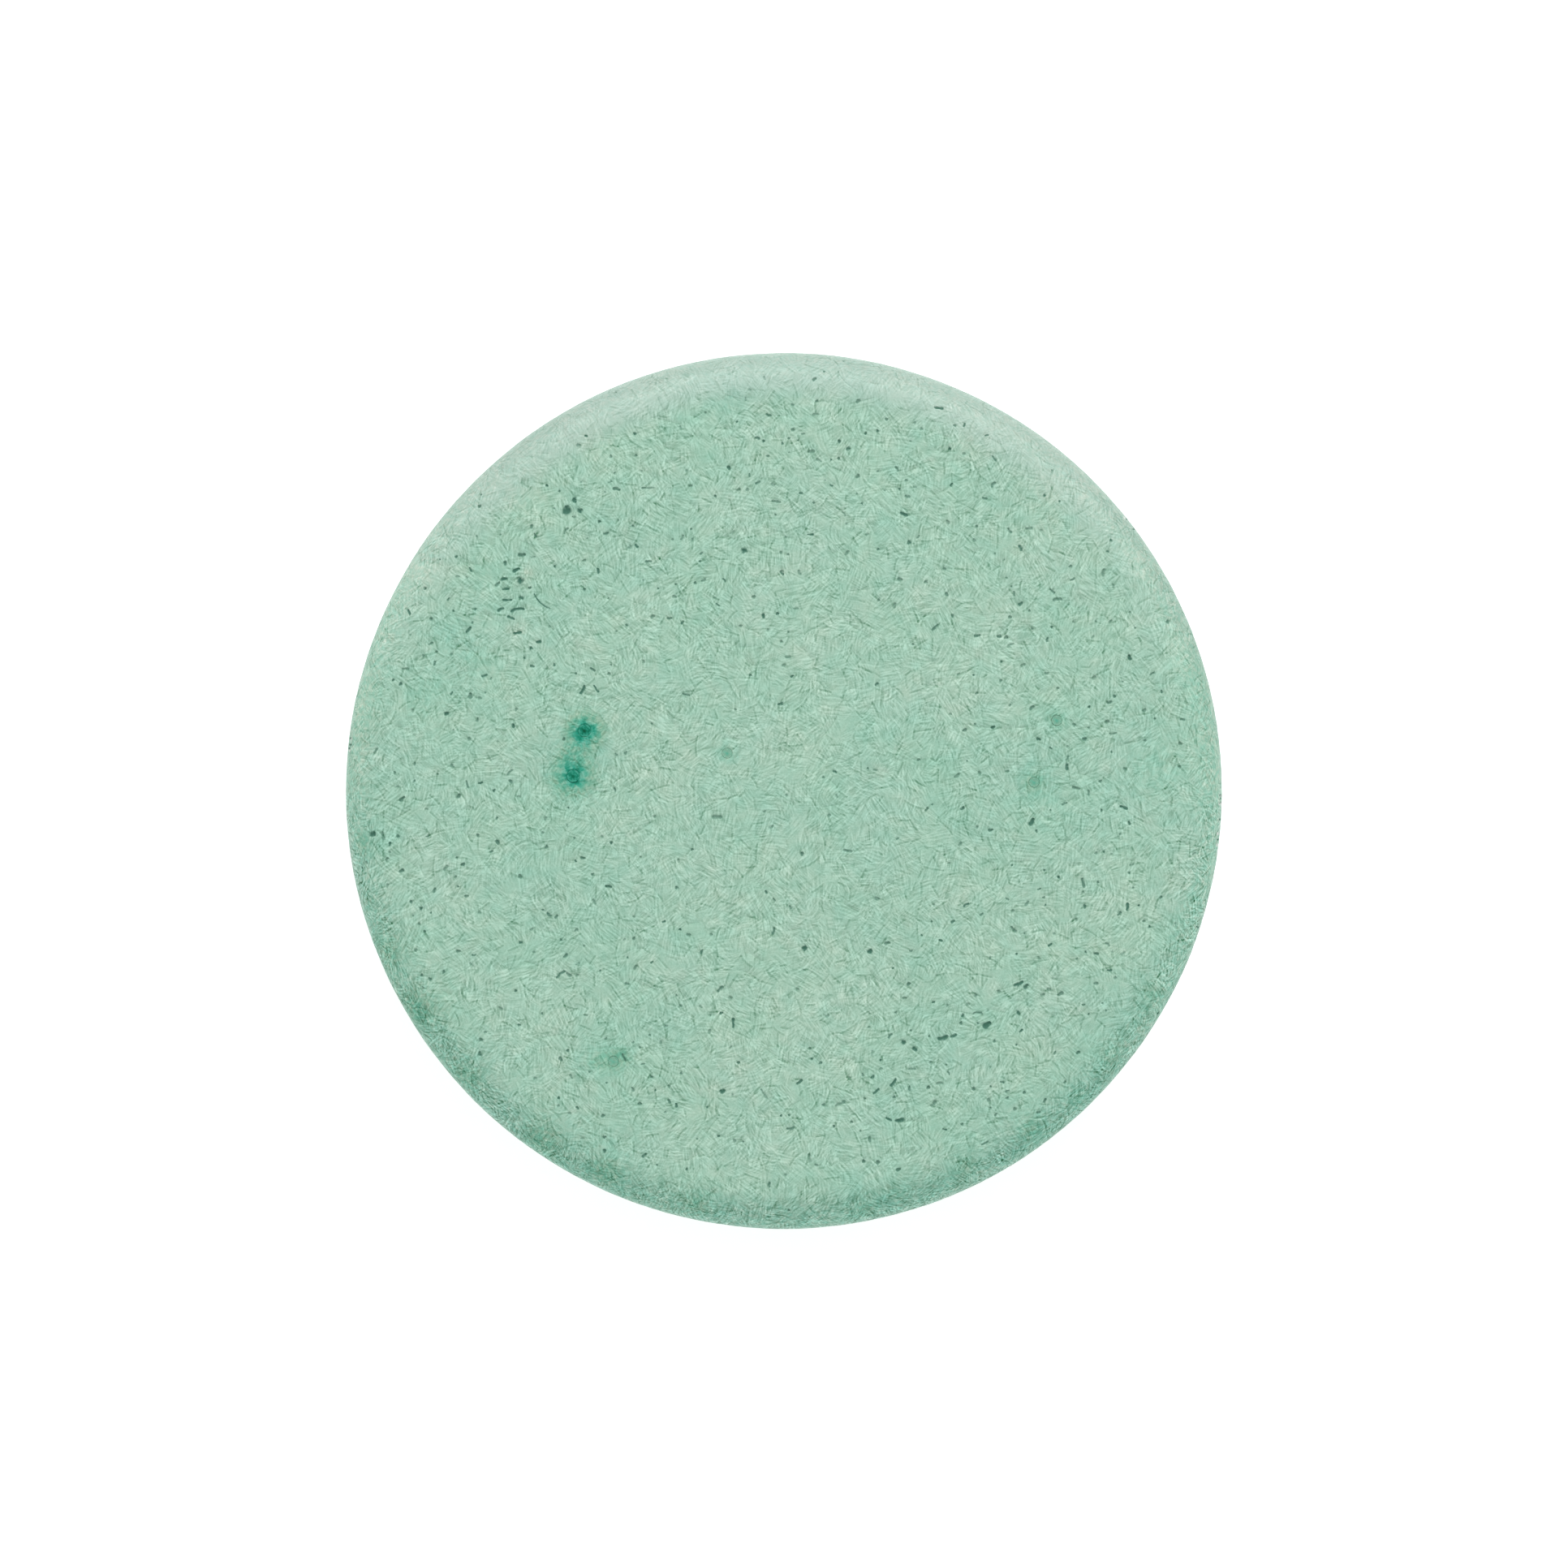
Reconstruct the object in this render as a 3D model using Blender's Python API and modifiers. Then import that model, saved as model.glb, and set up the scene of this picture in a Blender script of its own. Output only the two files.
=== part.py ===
"""Shaving soap puck: a round cake of hard soap with two flat faces and rounded edges, and the small
grains of undissolved dye that are caught in its top face.

Metres, +Z up. The origin is the centre of the bottom face, and +Z runs up the axis of the cake.
"""

import math

import bmesh
import bpy

# The cake
PUCK_DIAMETER = 0.070
PUCK_HEIGHT = 0.025
EDGE_RADIUS = 0.05 * PUCK_DIAMETER  # rounding where each flat face meets the side
PUCK_RADIUS = PUCK_DIAMETER / 2
ROUND_STEPS = 96  # segments around the axis
EDGE_STEPS = 8  # segments in each rounded edge

# The dye grains: each is a half ball, flat side up and flush with the top face, in an open bowl
LARGE_GRAIN_RADIUS = 0.0005
SMALL_GRAIN_RADIUS = 0.0004
BOWL_GAP = 0.0003  # clearance between a grain and its bowl
GRAIN_SEGMENTS = 16
GRAIN_RINGS = 10
DYE_GRAINS = [  # (x, y, radius) of each grain on the top face
    (-0.0158, 0.0048, LARGE_GRAIN_RADIUS),
    (-0.0167, 0.0012, LARGE_GRAIN_RADIUS),
    (-0.0045, 0.0030, SMALL_GRAIN_RADIUS),
    (0.0216, 0.0056, SMALL_GRAIN_RADIUS),
    (0.0198, 0.0007, SMALL_GRAIN_RADIUS),
    (-0.0135, -0.0214, SMALL_GRAIN_RADIUS),
]

# Colours, linear RGB
SOAP_COLOUR = (0.34, 0.55, 0.43, 1.0)
DYE_COLOUR = (0.0, 0.19, 0.10, 1.0)

SMOOTH_ANGLE = math.radians(30)
MERGE_DISTANCE = 0.000001


def clear_scene():
    """Removes every object, so that the script gives the same result in any file."""
    for old in list(bpy.data.objects):
        bpy.data.objects.remove(old, do_unlink=True)


def new_collection(name):
    """A collection in the scene."""
    collection = bpy.data.collections.new(name)
    bpy.context.scene.collection.children.link(collection)
    return collection


def plain_material(name, colour, roughness):
    """A Principled material with one colour."""
    material = bpy.data.materials.new(name)
    material.use_nodes = True
    shader = material.node_tree.nodes["Principled BSDF"]
    shader.inputs["Base Color"].default_value = colour
    shader.inputs["Roughness"].default_value = roughness
    shader.inputs["Metallic"].default_value = 0.0
    material.diffuse_color = colour
    return material


def new_object(name, mesh, collection, material=None):
    """An object for the mesh, in the collection."""
    piece = bpy.data.objects.new(name, mesh)
    collection.objects.link(piece)
    if material:
        mesh.materials.append(material)
    return piece


def edge_arc(centre_z, start_degrees, end_degrees):
    """Points of a rounded edge, from one angle to another about the arc's centre."""
    centre_x = PUCK_RADIUS - EDGE_RADIUS
    points = []
    for step in range(EDGE_STEPS + 1):
        angle = math.radians(start_degrees + (end_degrees - start_degrees) * step / EDGE_STEPS)
        x = centre_x + EDGE_RADIUS * math.cos(angle)
        z = centre_z + EDGE_RADIUS * math.sin(angle)
        points.append((x, 0.0, z))
    return points


def puck_profile():
    """The cake's half outline at +X, from the top centre down its outer side to the bottom centre."""
    top_edge = edge_arc(PUCK_HEIGHT - EDGE_RADIUS, 90, 0)
    bottom_edge = edge_arc(EDGE_RADIUS, 0, -90)
    return [(0.0, 0.0, PUCK_HEIGHT)] + top_edge + bottom_edge + [(0.0, 0.0, 0.0)]


def make_puck(collection, material):
    """The cake: its half outline turned about the Z axis."""
    points = puck_profile()
    edges = [(index, index + 1) for index in range(len(points) - 1)]
    mesh = bpy.data.meshes.new("soap_puck")
    mesh.from_pydata(points, edges, [])
    puck = new_object("soap_puck", mesh, collection, material)
    turn = puck.modifiers.new("turn", "SCREW")
    turn.axis = "Z"
    turn.angle = math.tau
    turn.steps = ROUND_STEPS
    turn.render_steps = ROUND_STEPS
    turn.use_merge_vertices = True
    turn.merge_threshold = MERGE_DISTANCE
    return puck


def ball_mesh(name, radius):
    """A ball about its own origin."""
    ball = bmesh.new()
    bmesh.ops.create_uvsphere(ball, u_segments=GRAIN_SEGMENTS, v_segments=GRAIN_RINGS, radius=radius)
    mesh = bpy.data.meshes.new(name)
    ball.to_mesh(mesh)
    ball.free()
    return mesh


def half_ball_mesh(name, radius):
    """The lower half of a ball, closed by a flat top at its own origin."""
    ball = bmesh.new()
    bmesh.ops.create_uvsphere(ball, u_segments=GRAIN_SEGMENTS, v_segments=GRAIN_RINGS, radius=radius)
    cut = bmesh.ops.bisect_plane(
        ball,
        geom=ball.verts[:] + ball.edges[:] + ball.faces[:],
        dist=MERGE_DISTANCE,
        plane_co=(0.0, 0.0, 0.0),
        plane_no=(0.0, 0.0, 1.0),
        clear_outer=True,
    )
    rim = [part for part in cut["geom_cut"] if isinstance(part, bmesh.types.BMEdge)]
    bmesh.ops.contextual_create(ball, geom=rim)
    bmesh.ops.recalc_face_normals(ball, faces=ball.faces[:])
    mesh = bpy.data.meshes.new(name)
    ball.to_mesh(mesh)
    ball.free()
    return mesh


def seat_grain(number, place, puck, parts, cutters, material):
    """One dye grain, flush with the top face, and the bowl cut for it in the cake."""
    x, y, radius = place
    name = f"dye_grain_{number}"
    grain = new_object(name, half_ball_mesh(name, radius), parts, material)
    grain.location = (x, y, PUCK_HEIGHT)
    grain.parent = puck
    bowl = new_object(name + "_bowl", ball_mesh(name + "_bowl", radius + BOWL_GAP), cutters)
    bowl.location = (x, y, PUCK_HEIGHT)
    bowl.hide_render = True
    bowl.display_type = "WIRE"
    cut = puck.modifiers.new(name + "_bowl", "BOOLEAN")
    cut.operation = "DIFFERENCE"
    cut.object = bowl
    return grain


def shade(piece):
    """Smooth shading, with the sharp edges kept."""
    piece.data.shade_smooth()
    piece.data.set_sharp_from_angle(angle=SMOOTH_ANGLE)


def main():
    clear_scene()
    parts = new_collection("shaving_soap_puck")
    cutters = new_collection("cutters")
    soap = plain_material("soap", SOAP_COLOUR, 0.55)
    dye = plain_material("dye", DYE_COLOUR, 0.45)
    puck = make_puck(parts, soap)
    for number, place in enumerate(DYE_GRAINS, start=1):
        grain = seat_grain(number, place, puck, parts, cutters, dye)
        shade(grain)


main()
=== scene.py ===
import math

import bmesh
import bpy
import numpy as np
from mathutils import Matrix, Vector, kdtree, noise
from mathutils.geometry import delaunay_2d_cdt


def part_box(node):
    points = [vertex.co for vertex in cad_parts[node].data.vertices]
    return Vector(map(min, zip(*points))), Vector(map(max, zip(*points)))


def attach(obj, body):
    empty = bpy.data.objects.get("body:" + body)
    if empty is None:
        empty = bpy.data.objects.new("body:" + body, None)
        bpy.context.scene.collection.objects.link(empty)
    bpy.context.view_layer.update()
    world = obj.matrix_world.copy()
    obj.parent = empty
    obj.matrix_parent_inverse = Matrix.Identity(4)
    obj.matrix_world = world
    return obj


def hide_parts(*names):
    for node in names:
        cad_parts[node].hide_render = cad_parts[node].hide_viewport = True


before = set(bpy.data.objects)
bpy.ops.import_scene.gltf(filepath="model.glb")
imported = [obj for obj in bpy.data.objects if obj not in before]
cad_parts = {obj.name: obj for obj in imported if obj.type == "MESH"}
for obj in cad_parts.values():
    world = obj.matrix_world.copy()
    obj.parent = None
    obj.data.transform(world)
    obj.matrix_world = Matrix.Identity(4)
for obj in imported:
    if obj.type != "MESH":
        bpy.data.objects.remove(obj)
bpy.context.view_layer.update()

# Sizes, in metres. The cake's own come from the CAD parts in model.glb.
MM = 0.001
PUCK_LOW, PUCK_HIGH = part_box("soap_puck")
PUCK_RADIUS = (PUCK_HIGH.x - PUCK_LOW.x) / 2
PUCK_HEIGHT = PUCK_HIGH.z - PUCK_LOW.z
EDGE_SHARE = 0.05  # radius of the rounded edges, as a share of the diameter
EDGE_RADIUS = EDGE_SHARE * 2 * PUCK_RADIUS
FLAT_RADIUS = PUCK_RADIUS - EDGE_RADIUS
GRAINS = sorted(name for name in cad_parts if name.startswith("dye_grain"))

# Arc lengths along the half outline, from the middle of the top face to the middle of the bottom one
QUARTER_ARC = EDGE_RADIUS * math.pi / 2
TOP_ARC_START = FLAT_RADIUS
SIDE_START = TOP_ARC_START + QUARTER_ARC
SIDE_END = SIDE_START + PUCK_HEIGHT - 2 * EDGE_RADIUS
BOTTOM_ARC_END = SIDE_END + QUARTER_ARC
OUTLINE_LENGTH = BOTTOM_ARC_END + FLAT_RADIUS

# The mesh of the cake
GRID_STEP = 0.6 * MM
RING_POINTS = 480
BORDER_GAP = 0.25 * MM  # between the rings that join the three charts and the points inside them
CROWDED_CELL = 0.3 * MM  # plain grid points keep out of cells of this size that hold a mark
TWIN_CELL = 0.05 * MM  # two points of marks never share a cell of this size
CELL_ROW = 1_000_003  # cells are numbered in rows of this many
GRID_SHAKE = 0.12  # how far plain grid points are shaken, as a share of the grid's step
SEED = 20
SWELL = 0.08 * MM  # how far the whole surface swells in and out
SWELL_MIDDLE = 0.45
SWELL_WAVES = [(11, 0.45), (3, 0.15)]  # size in millimetres, and strength
GRAIN_GAP = 0.02 * MM  # between a dye grain and its bowl
BOWL_DEPTH = 0.36  # as a share of the bowl's width

# How closely the mesh follows each kind of mark: step along its middle line, rings round it as shares
# of its half width, and steps round each of its ends
MARK_DETAIL = {
    "pit": (0.22 * MM, (1.4, 1.0, 0.7), 4),
    "chip": (0.22 * MM, (1.4, 1.0, 0.7), 4),
    "needle": (0.42 * MM, (1.0,), 2),
    "bowl": (0.22 * MM, (1.15, 1.0, 0.9, 0.7, 0.4), 8),
}
SHORTEST_LINE = 0.02 * MM  # a mark with a shorter middle line is drawn as a dot
MARK_REACH = 1.3  # how far a mark has any effect, in half widths
REACH_MARGIN = 0.05 * MM
RIM_UNEVENNESS = 0.16
RIM_BUMPS = 3
WALL_POWER = {"pit": 0.8, "chip": 0.8, "needle": 0.8, "bowl": 0.5}  # the less, the steeper the walls
TINT_SLOPE = 3.4  # how fast a mark's colour fades in from its rim: painted shade in pits, notches and needle grooves, and the chips' own paleness

# Random pits. Lengths and widths: middle, spread, least and most, in millimetres
PIT_LENGTH = (0.345, 0.40, 0.20, 1.1)
PIT_WIDTH = (0.24, 0.05, 0.17, 0.38)
PIT_DEPTH = (0.35, 0.55)  # as a share of the width
PIT_LEAN = (-0.3, 1.1)  # their usual directions, in radians
TURNED_PITS = 0.3  # share of them that lie across those directions
PIT_BENDS = [0.0, 0.0, 1.0]  # two in three are straight
MOST_BEND = 0.9  # of a pit, per millimetre
# How strongly painted shade darkens each pit
PIT_STRENGTH = (0.4, 1.0)
PIT_TAPER = 0.4
LUMPS = (1, 7)  # where the bumps of its rim lie, as an angle

# How common random pits are, next to the busiest part of a face
SIDE_PITS = 0.5
MIDDLE_PITS = 0.3
COMMON_PITS = (0.3, 0.65)  # shares of the radius, between which they become common
RARE_PITS = (0.9, 0.98)  # the same, between which they become rare again
LOST_EDGE_PITS = 0.9

# Needle grooves: the same kinds of values as for pits, but only the least and most width
NEEDLE_LENGTH = (1.2, 0.35, 0.6, 2.6)
NEEDLE_WIDTH = (0.12, 0.17)
NEEDLE_DEPTH = 0.25
NEEDLE_BEND = 0.12
# How strongly each groove's darker line shows, which is partly painted shade
NEEDLE_STRENGTH = (0.2, 1.0)

# Numbers of scattered pits and needle grooves, by chart
PIT_COUNTS = {"top": 555, "side": 340, "bottom": 400}
NEEDLE_COUNTS = {"top": 620, "side": 350, "bottom": 350}

# Groups of pits on the top face, in millimetres: middle, spread along x and y, count
PIT_GROUPS = [
    (-16.5, 22.5, 1.8, 1.0, 6),
    (-8.0, 15.0, 1.2, 1.0, 5),
    (0.0, 26.5, 3.0, 2.4, 14),
    (7.5, 25.5, 2.2, 2.6, 12),
    (9.5, -21.3, 1.5, 1.3, 11),
    (14.5, -17.8, 1.4, 0.9, 6),
    (20.5, -15.8, 1.4, 0.5, 5),
    (20.0, -10.0, 1.8, 1.5, 8),
    (17.0, -24.2, 1.1, 0.8, 6),
    (28.0, -8.5, 1.8, 2.0, 7),
    (-11.5, -12.5, 1.0, 0.8, 5),
    (-27.5, -13.5, 1.2, 1.6, 6),
    (-32.0, -4.0, 0.7, 1.3, 5),
    (16.5, 9.0, 2.4, 2.4, 7),
    (-28.0, 12.0, 1.6, 1.2, 5),
    (-25.4, 17.0, 0.3, 1.2, 5),
]
# Single pits that stand out on the top face: x, y, length, width in millimetres, direction in degrees
SINGLE_PITS = [
    (-17.2, 22.3, 0.85, 0.70, 80),
    (-16.1, 22.2, 0.48, 0.44, 10),
    (-16.6, 23.0, 0.52, 0.42, 110),
    (-21.2, 17.5, 0.70, 0.30, 25),
    (-22.1, 16.8, 0.60, 0.26, 5),
    (-20.8, 16.7, 0.60, 0.56, 30),
    (-22.0, 16.0, 0.62, 0.24, 5),
    (-21.9, 15.1, 0.85, 0.20, 2),
    (-20.8, 15.3, 0.48, 0.26, 165),
    (-22.4, 14.4, 0.65, 0.24, 20),
    (-21.1, 14.4, 1.20, 0.25, 10),
    (-21.6, 13.7, 0.70, 0.22, 155),
    (-21.1, 12.5, 0.75, 0.22, 8),
    (-19.3, 14.9, 1.80, 0.14, 137),
    (-19.4, 11.8, 0.50, 0.28, 10),
    (-20.0, 11.3, 0.32, 0.30, 0),
    (-15.9, 8.0, 0.85, 0.25, 62),
    (-14.9, 8.1, 0.75, 0.18, 125),
    (16.1, -18.5, 0.85, 0.50, 35),
    (12.6, -19.6, 0.95, 0.36, 15),
    (13.4, -19.4, 0.60, 0.26, 20),
    (18.6, -15.3, 0.90, 0.30, 25),
    (9.5, -19.9, 0.42, 0.40, 0),
    (10.3, -20.4, 0.50, 0.34, 145),
    (9.1, -26.1, 0.80, 0.34, 8),
    (8.3, -26.0, 0.60, 0.22, 150),
    (8.7, -23.1, 0.85, 0.26, 55),
    (9.5, 21.9, 0.75, 0.28, 160),
    (26.9, -1.3, 0.75, 0.25, 160),
    (27.2, -9.2, 0.70, 0.26, 85),
    (-12.7, -21.1, 0.70, 0.18, 115),
    (-3.2, 19.0, 0.52, 0.48, 40),
    (1.6, -12.5, 0.52, 0.46, 60),
    (-4.9, -23.8, 0.55, 0.42, 20),
    (6.8, -12.7, 0.52, 0.42, 30),
    (-32.6, -3.4, 0.65, 0.48, 20),
]
SINGLE_PIT_DEPTH = 0.36  # as a share of the width
SINGLE_PIT_BEND = 0.5
PIT_GAP = 0.55 * MM  # least distance between the middles of a random pit and another mark
GRAIN_CLEARANCE = 1.3 * MM  # the same for a dye grain's bowl

# Dye in the soap: x, y and reach in millimetres, and concentration, which is negative in pale places.
# Those at grains come first.
STAINS = [
    (-15.8, 4.8, 0.47, 1.95),
    (-16.7, 1.2, 0.58, 1.45),
    (-4.5, 3.0, 0.30, 0.30),
    (21.6, 5.6, 0.32, 0.32),
    (19.8, 0.7, 0.45, 0.27),
    (-13.5, -21.4, 0.50, 0.18),
    (-16.9, 2.7, 0.55, 0.22),
    (-16.1, 4.0, 0.32, 0.70),
    (-15.2, 4.7, 0.30, 0.45),
    (-17.1, 1.7, 0.30, 0.35),
    (-16.4, 0.8, 0.30, 0.35),
    (-12.8, -21.0, 0.35, 0.26),
    (-14.5, -21.3, 0.50, 0.17),
    (-15.6, -21.5, 0.50, 0.08),
    (-23.9, 17.1, 1.6, 0.040),
    (-26.4, 12.5, 1.8, 0.040),
    (-23.9, 10.0, 2.0, 0.038),
    (-28.8, 7.1, 2.0, 0.040),
    (-28.3, 16.9, 1.6, -0.050),
    (-21.0, 12.8, 0.9, -0.060),
    (-20.3, 17.3, 0.5, -0.080),
    (20.5, -1.5, 3.0, 0.025),
    (30.0, 1.5, 3.0, 0.045),
]
# The same round the edge, where some rows are painted light and shade instead of dye: direction in degrees,
# distance from the axis, reach, concentration
EDGE_STAINS_AND_PAINTED_LIGHT = [
    (187, 33.8, 0.6, 0.20),
    (195, 33.9, 1.2, 0.08),
    (202, 33.9, 1.2, 0.15),
    (211, 33.8, 1.2, 0.26),
    (222, 33.9, 1.5, 0.16),
    (235, 33.7, 1.4, 0.20),
    (245, 33.5, 1.3, 0.19),
    (258, 33.6, 1.0, 0.17),
    (281, 33.7, 1.1, 0.11),
    (286, 33.3, 0.9, 0.09),
    (296, 33.1, 1.2, 0.11),
    (306, 33.1, 1.2, 0.12),
    (314, 33.7, 1.2, 0.08),
    (321, 33.5, 1.2, 0.10),
    (331, 33.3, 1.3, 0.11),
    (345, 33.7, 1.3, 0.05),
    # Painted light: these four pale places, in pairs on either side of +Y, lighten the edge that faces the
    # softbox
    (48, 31.8, 2.0, -0.050),
    (62, 31.6, 1.6, -0.040),
    (118, 31.6, 1.6, -0.040),
    (133, 31.6, 2.0, -0.050),
    # Painted shade: these two darken the outermost edge that faces the softbox
    (82, 34.2, 1.5, 0.060),
    (91, 33.8, 1.5, 0.040),
    (98, 31.6, 0.9, 0.070),
]
# Stretches of the rounded edge that are chipped: direction and spread in degrees, count
CHIPPED_STRETCHES = [(-4.0, 4.0, 16), (-17.0, 1.5, 4), (175.0, 2.0, 5), (38.0, 3.0, 4)]
CHIP_INSET = (0.5, 1.5)  # from the upper end of the side, in millimetres
CHIP_WIDTH = (0.2, 0.4)
CHIP_LENGTH = 1.4  # in widths
CHIP_DEPTH = 0.12
NOTCH_SIZE = (0.8, 0.2, 0.08)  # length, width and depth in millimetres
# How strongly painted shade darkens each notch
NOTCH_STRENGTH = 0.8

# The dye grains' lumps
LUMP_DETAIL = 3
FACET_SCALE = 1.7  # facets to a radius
FACET_DEPTH = 0.35
DEEPEST_FACET = 0.8
ROUGH_SCALE = 4
TOP_HOLLOW = 0.05  # depth of the hollow in the flat top, as a share of the radius
LUMP_HEIGHT = 0.6  # how flat the lower half is

# Camera
LENS = 120.0
SENSOR = 36.0
FRAME_WIDTH = 125.2 * MM  # width of the picture at the level of the cake's widest ring
CAMERA_SHIFT_Y = 0.55 * MM

# Floor and light
FLOOR_WHITE = (0.9, 0.9, 0.9, 1.0)
FLOOR_ROUGHNESS = 0.9
FLOOR_GLOW = 0.46
FLOOR_SIZE = 6.0
FLOOR_DROP = 0.05 * MM  # below the cake, so that the two don't meet
WHITE = (1.0, 1.0, 1.0, 1.0)
WORLD_LIGHT = 0.74
SOFTBOX_PLACE = (0.11, 0.68, 0.54)
SOFTBOX_SIZE = 0.5
SOFTBOX_POWER = 4.1

# Colours, linear RGB
UNDYED_SOAP = (0.478, 0.595, 0.476)
GRAIN_SOAP = (0.430, 0.560, 0.450)  # a thin skin of soap over a grain
ABSORBANCE = (3.3, 0.82, 1.03)  # of the dye, for each channel
MOST_DYE = 2.4  # the highest concentration that the colour ramp holds
# Painted shade: the dark green that pits and notches take in their hollows
PIT_PAINTED_SHADE = (0.065, 0.180, 0.128)
DRY_PALE = (0.62, 0.66, 0.62)
PINKNESS = (0.05, 0.0, 0.06)  # how far one unit of warmth scales each channel
STAIN_MURK = (0.0, -0.075, -0.12)  # the same for murk
# Pale grey skin: dry soap, with painted light on the +Y edge and a painted pale rim on the side where it is
# used
DRY_SKIN_AND_SHEEN = (0.405, 0.515, 0.465)
DYE_STOPS = 12  # steps of the dye's colour ramp
FIBRE_CONTRAST = (0.222, 0.174, 0.205)  # how far one unit of lightness scales each channel

# Shine and fine relief
LITTLE_SHINE = 0.12
SOAP_ROUGHNESS = 0.66
FELT_ROUGHNESS = 0.12
SHINE_SLOPE = (0.3, 0.7)  # crystal noise from here to there gives roughness from the first to the second
CRYSTAL_ROUGHNESS = (0.7, 0.5)
RELIEF_DEPTH = 0.05 * MM
FELT_RELIEF = 0.4
GRAIN_RELIEF = 0.6
DARK_RELIEF = -0.3
SOAP_RELIEF = 0.3
CRYSTAL_RELIEF = 0.4

# Fibres and strokes of the soap's texture, in millimetres
FELT_LAYERS = [  # size of a patch, length and width of its fibres, and a seed
    (1.9, 1.0, 0.15, 1),
    (1.5, 0.9, 0.14, 2),
    (2.5, 1.3, 0.17, 3),
]
PALE_STROKES = [  # size of a cell, length, width, seed, share of the cells, strokes side by side
    (1.2, 1.1, 0.13, 4, 0.6, 1),
    (1.7, 1.1, 0.13, 5, 0.4, 3),
]
DARK_STROKES = [
    (1.0, 0.7, 0.16, 6, 0.55, 1),
    (1.2, 0.9, 0.17, 7, 0.65, 1),
    (1.6, 1.2, 0.16, 9, 0.4, 1),
]
FAINT_DARK_STROKES = (1.7, 1.1, 0.13, 8, 0.4, 3)
FAINTNESS = 0.6
FELT_WOBBLE = 0.14  # how far noise shifts the felt, and the strokes
STROKE_WOBBLE = 0.07
BUNDLE_PITCH = 0.30  # between the strokes of a bundle
SIDE_LINE = 0.14  # from a stroke to the fainter line beside it
SIDE_LINE_STRENGTH = 0.5
STROKE_BEND = 0.45  # how bent the strokes are
STROKE_RIM = 0.04  # how softly a bundle ends at its sides
FAINTEST_STROKE = 0.35
PATCH_SHIFT = 50.0  # keeps the fibres of neighbouring patches apart
PATCH_FADE = (0.35, 0.7)  # a patch fades out over these distances from its point, in patches
ROW_MIX = 9.0  # mixes the lengths of a bundle's strokes
ROW_LENGTH = 0.75
ROW_SPREAD = 0.35
LINE_CORE = 0.3  # a stroke fades out between these shares of its width
LINE_RIM = 0.7

# Noises: size in millimetres, detail, and shift
WOBBLE = (1.0, 2.0)
FINE_GRAIN = (0.15, 1.0)
SPECKLE = (0.35, 2.0)
RAGGED = (0.38, 3.0)
SMALL_CLOUDS = (1.1, 2.0, (0.0, 90.0, 0.0))
LARGE_CLOUDS = (7.0, 1.0, (0.0, 0.0, 70.0))
WARM_CLOUDS = (5.0, 3.0, (0.0, -80.0, 0.0))
CRYSTALS = (0.25, 2.0)
FINE_CRYSTALS = (0.17, 2.0)
CRYSTAL_LIGHT = 4.0
CRYSTAL_SLOPE = (0.35, 0.65)  # crystal noise from here to there gives a share of the dye
CRYSTAL_DYE = (0.6, 1.3)
NOISE_SLOPE = (0.33, 0.67)  # most of a noise lies between these

# How much each layer of the texture lightens the soap
FELT_LIGHT = 1.0
GRAIN_LIGHT = 1.55
PALE_LIGHT = 0.75
DARK_LIGHT = -1.3
# Along the needle grooves: partly the crystals' own darker colour, partly painted shade in the groove
NEEDLE_DARK_AND_SHADE = -1.1
SMALL_CLOUD_LIGHT = 0.5
LARGE_CLOUD_LIGHT = 0.15
ROUGH_GRAIN_LIGHT = 2.0  # on the rough edge, on top of the plain one
ROUGH_DARK_LIGHT = -0.4
DRY_AND_LIT_CALM = 0.6  # how much of the texture is left on the paler +Y edge, which is dry skin with painted light, and in strong stains
STAIN_CALM = 0.45

# Regions of the surface, in millimetres: each fades in from the first value to the second
UPPER_PART = (14.0, 21.0)  # heights
EDGE_BAND = (31.5, 34.3)  # distances from the axis
WIDE_EDGE_BAND = (30.3, 33.0)
# The region of painted shade: the outermost +Y edge, which faces the softbox
DIM_BAND = (33.1, 34.4)
# The side band: a painted pale rim, standing in for reflection, along with dry skin
SIDE_BAND = (34.5, 34.9)
# The paler +Y edge: dry skin, with painted light where the softbox falls
DRY_AND_LIT_Y = (5.0, 33.0)
ROUGH_Y = (5.0, -10.0)
DIM_Y = (4.0, 26.0)
DIM_LEAN = 0.3  # how far the painted shade on the +Y edge leans toward +X, where the softbox stands

# Dye in the soap, apart from the stains
BASE_DYE = 0.10
DYE_CLOUDS = [  # size in millimetres, detail, shift of the noise, and strength
    (10.0, 2.0, (0.0, 0.0, 0.0), 0.085),
    (2.6, 2.0, (60.0, 0.0, 0.0), 0.09),
    (1.0, 3.0, (0.0, 0.0, 40.0), 0.11),
]
EDGE_DYE = 0.01
EDGE_DYE_SLOPE = -0.055 / 35  # for each millimetre toward +Y
EDGE_SPECKLE = 0.35
MURK_RISE = (0.02, 0.12)  # concentrations between which the murk comes in, and goes again
MURK_FALL = (0.2, 0.6)
LEAST_MURK = 0.1
STRONG_STAINS = (0.2, 0.9)  # concentrations between which the texture fades
RAGGED_STAINS = (0.45, 1.55)  # least and most of a stain that its ragged noise leaves
DRY_AND_LIT_SHARE = 0.6  # how much of the pale grey skin the +Y edge takes on: dry skin, with painted light on the side that faces the softbox
# How much of the pale grey skin the side takes on: a painted pale rim that stands in for reflection, with dry
# skin
SIDE_DRY_AND_SHEEN_SHARE = 0.3
# Painted shade: how much darker the outermost +Y edge is made, as it faces the softbox
LIT_EDGE_PAINTED_SHADE = -0.18


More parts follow.
